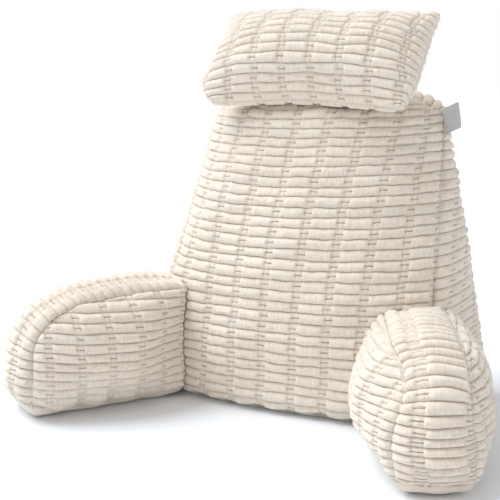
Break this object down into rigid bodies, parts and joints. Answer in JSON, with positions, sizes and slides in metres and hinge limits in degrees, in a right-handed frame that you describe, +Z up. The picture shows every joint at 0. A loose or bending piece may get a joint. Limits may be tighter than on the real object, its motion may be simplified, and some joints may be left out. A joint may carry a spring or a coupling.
{
  "type": "reading pillow with arms and headrest",
  "caption": "Stuffed ribbed-plush reading pillow with a leaning backrest, splayed arms and a small headrest pillow on its top edge.",
  "frame": {"origin": "centre of the pillow's footprint box, on the floor that it stands on", "axes": "+X to the right of someone facing the pillow's front, the pillow faces -Y, +Z up"},
  "size_m": [0.7222, 0.4734, 0.5745],
  "materials": {
    "plush_cream": "warm cream ribbed plush, short soft pile",
    "label_white": "smooth white satin tape, bare"
  },
  "bodies": {
    "root": {"backrest": "plush_cream", "arm_left": "plush_cream", "arm_right": "plush_cream", "headrest": "plush_cream", "label": "label_white"}
  },
  "joints": []
}
